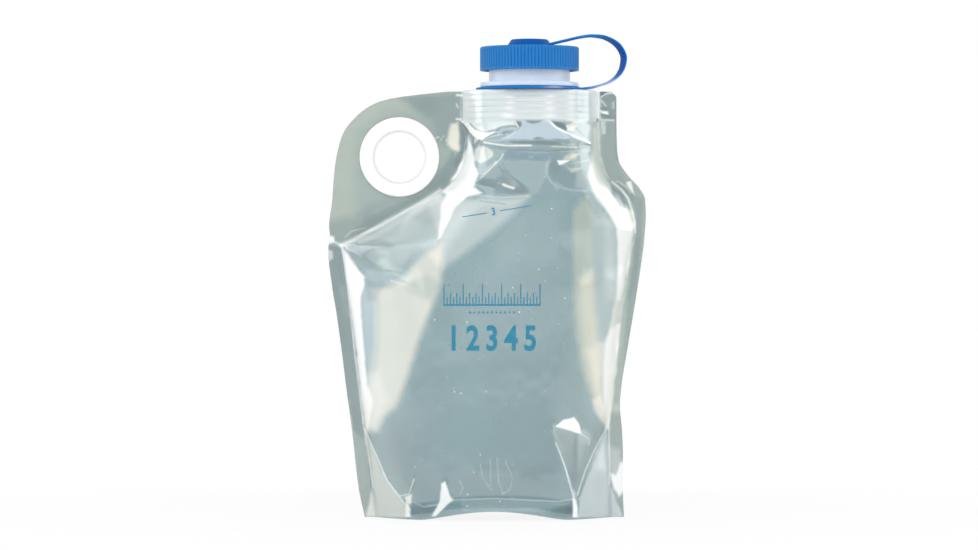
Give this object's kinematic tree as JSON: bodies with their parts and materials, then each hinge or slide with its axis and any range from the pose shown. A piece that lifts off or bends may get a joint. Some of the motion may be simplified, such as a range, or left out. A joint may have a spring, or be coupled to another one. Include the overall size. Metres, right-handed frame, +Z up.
{
  "type": "collapsible water carrier",
  "caption": "Clear film stand-up water pouch with a grommeted handle web, a wide-mouth screw neck, a ribbed screw cap and a tether ring that keeps the cap.",
  "frame": {"origin": "on the surface that the carrier stands on, below the middle of its whole box", "axes": "+X to the right seen from the front, +Y from front to back, +Z up along the neck's axis"},
  "size_m": [0.2157, 0.1014, 0.3279],
  "materials": {
    "film": "clear laminated film, faint grey-blue, glossy",
    "fitment": "natural moulded polyethylene, milky and slightly translucent",
    "cap_blue": "moulded mid-blue plastic, satin gloss",
    "tether_blue": "moulded dark-blue flexible plastic, satin gloss",
    "grommet_white": "white moulded plastic, satin gloss"
  },
  "bodies": {
    "bag": {"front_film_panel": "film", "back_film_panel": "film", "neck_fitment": "fitment", "grommet_front_half": "grommet_white", "grommet_back_half": "grommet_white"},
    "base": {"base_gusset": "film"},
    "collar": {"tether_collar": "tether_blue"},
    "cap": {"screw_cap": "cap_blue"},
    "strap": {"tether_strap": "tether_blue"},
    "neck_ring": {"tether_neck_ring": "tether_blue"}
  },
  "joints": [
    {"name": "base_fold", "type": "slide", "parent": "bag", "child": "base", "axis": [0, 0, 1], "range_m": [0, 0.05], "deforming": ["base_gusset", "front_film_panel", "back_film_panel"]},
    {"name": "cap_rise", "type": "slide", "parent": "bag", "child": "collar", "axis": [0, 0, 1], "range_m": [0, 0.02101]},
    {"name": "cap_turn", "type": "hinge", "parent": "collar", "child": "cap", "pos_m": [0.0289, 0, 0.31], "axis": [0, 0, 1], "range_deg": [0, 1800]},
    {"name": "tether_turn", "type": "hinge", "parent": "collar", "child": "strap", "pos_m": [0.0289, 0, 0.31], "axis": [0, 0, 1], "continuous": true},
    {"name": "ring_stay", "type": "slide", "parent": "strap", "child": "neck_ring", "axis": [0, 0, -1], "range_m": [0, 0.02101], "deforming": ["tether_strap"]}
  ],
  "couplings": [
    {"joint": "cap_rise", "follows": "cap_turn", "m_per_rad": 0.00066845},
    {"joint": "ring_stay", "follows": "cap_turn", "m_per_rad": 0.00066845}
  ]
}
